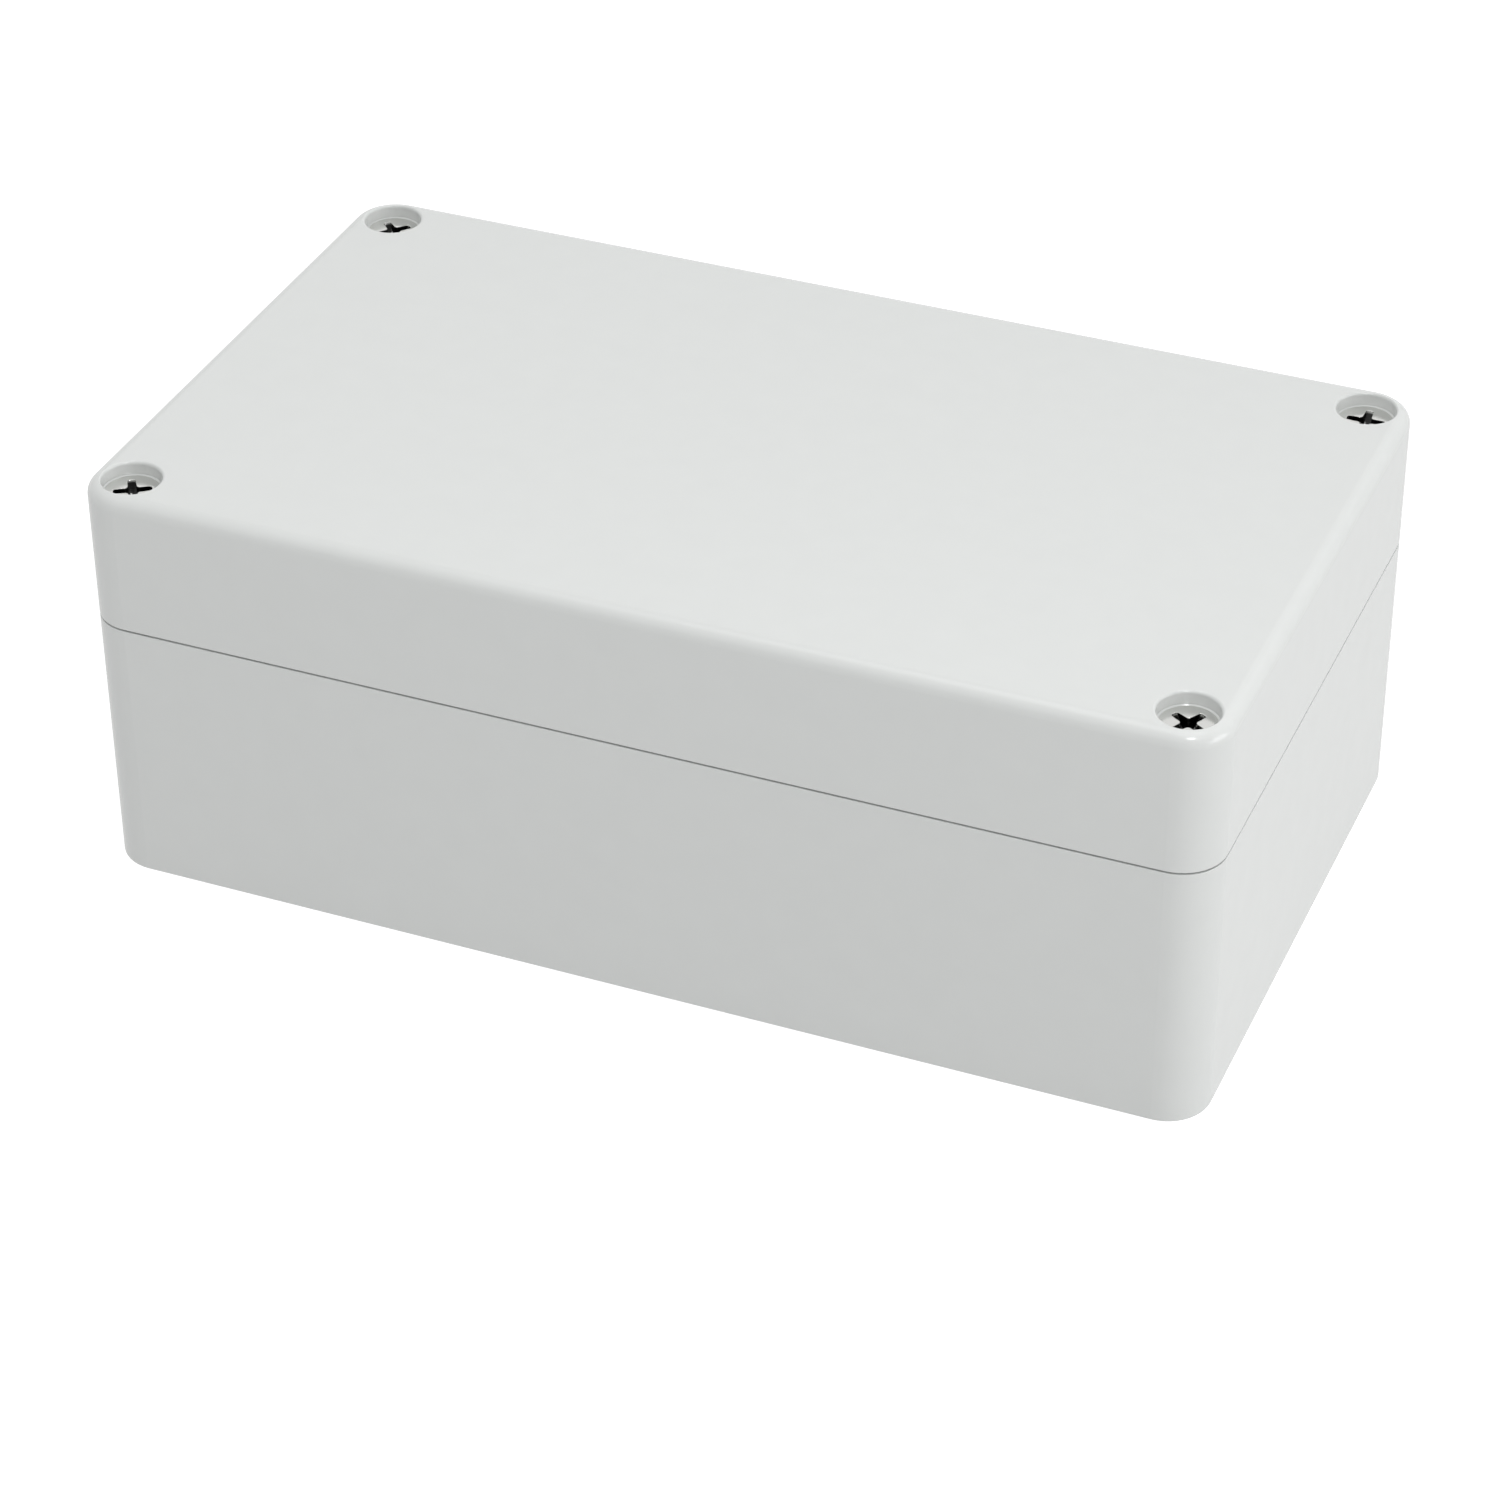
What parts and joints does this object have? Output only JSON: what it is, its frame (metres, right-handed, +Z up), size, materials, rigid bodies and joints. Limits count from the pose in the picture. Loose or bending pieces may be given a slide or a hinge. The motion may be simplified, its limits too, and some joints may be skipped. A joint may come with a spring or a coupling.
{
  "type": "plastic project box",
  "caption": "Light grey sealed plastic project box: a deep base and a screwed lid, with threaded inserts, a seal cord in a groove, wall fixings and bosses for a circuit board.",
  "frame": {"origin": "centre of the underside", "axes": "+X along the box, +Y across it towards the back, +Z up out of the lid"},
  "size_m": [0.158, 0.09, 0.06],
  "materials": {
    "housing": "satin moulded, very fine texture, light grey",
    "seal": "soft cream silicone foam",
    "steel": "bright turned stainless steel",
    "brass": "turned and knurled"
  },
  "bodies": {
    "base": {"base": "housing", "insert_front_left": "brass", "insert_front_right": "brass", "insert_back_left": "brass", "insert_back_right": "brass"},
    "lid": {"lid": "housing", "seal": "seal"},
    "screw_front_left": {"screw_front_left": "steel"},
    "screw_front_right": {"screw_front_right": "steel"},
    "screw_back_left": {"screw_back_left": "steel"},
    "screw_back_right": {"screw_back_right": "steel"}
  },
  "joints": [
    {"name": "lid_lift", "type": "slide", "parent": "base", "child": "lid", "axis": [0, 0, 1], "range_m": [0, 0.08]},
    {"name": "screw_front_left_out", "type": "slide", "parent": "lid", "child": "screw_front_left", "axis": [0, 0, 1], "range_m": [0, 0.027]},
    {"name": "screw_front_right_out", "type": "slide", "parent": "lid", "child": "screw_front_right", "axis": [0, 0, 1], "range_m": [0, 0.027]},
    {"name": "screw_back_left_out", "type": "slide", "parent": "lid", "child": "screw_back_left", "axis": [0, 0, 1], "range_m": [0, 0.027]},
    {"name": "screw_back_right_out", "type": "slide", "parent": "lid", "child": "screw_back_right", "axis": [0, 0, 1], "range_m": [0, 0.027]}
  ]
}
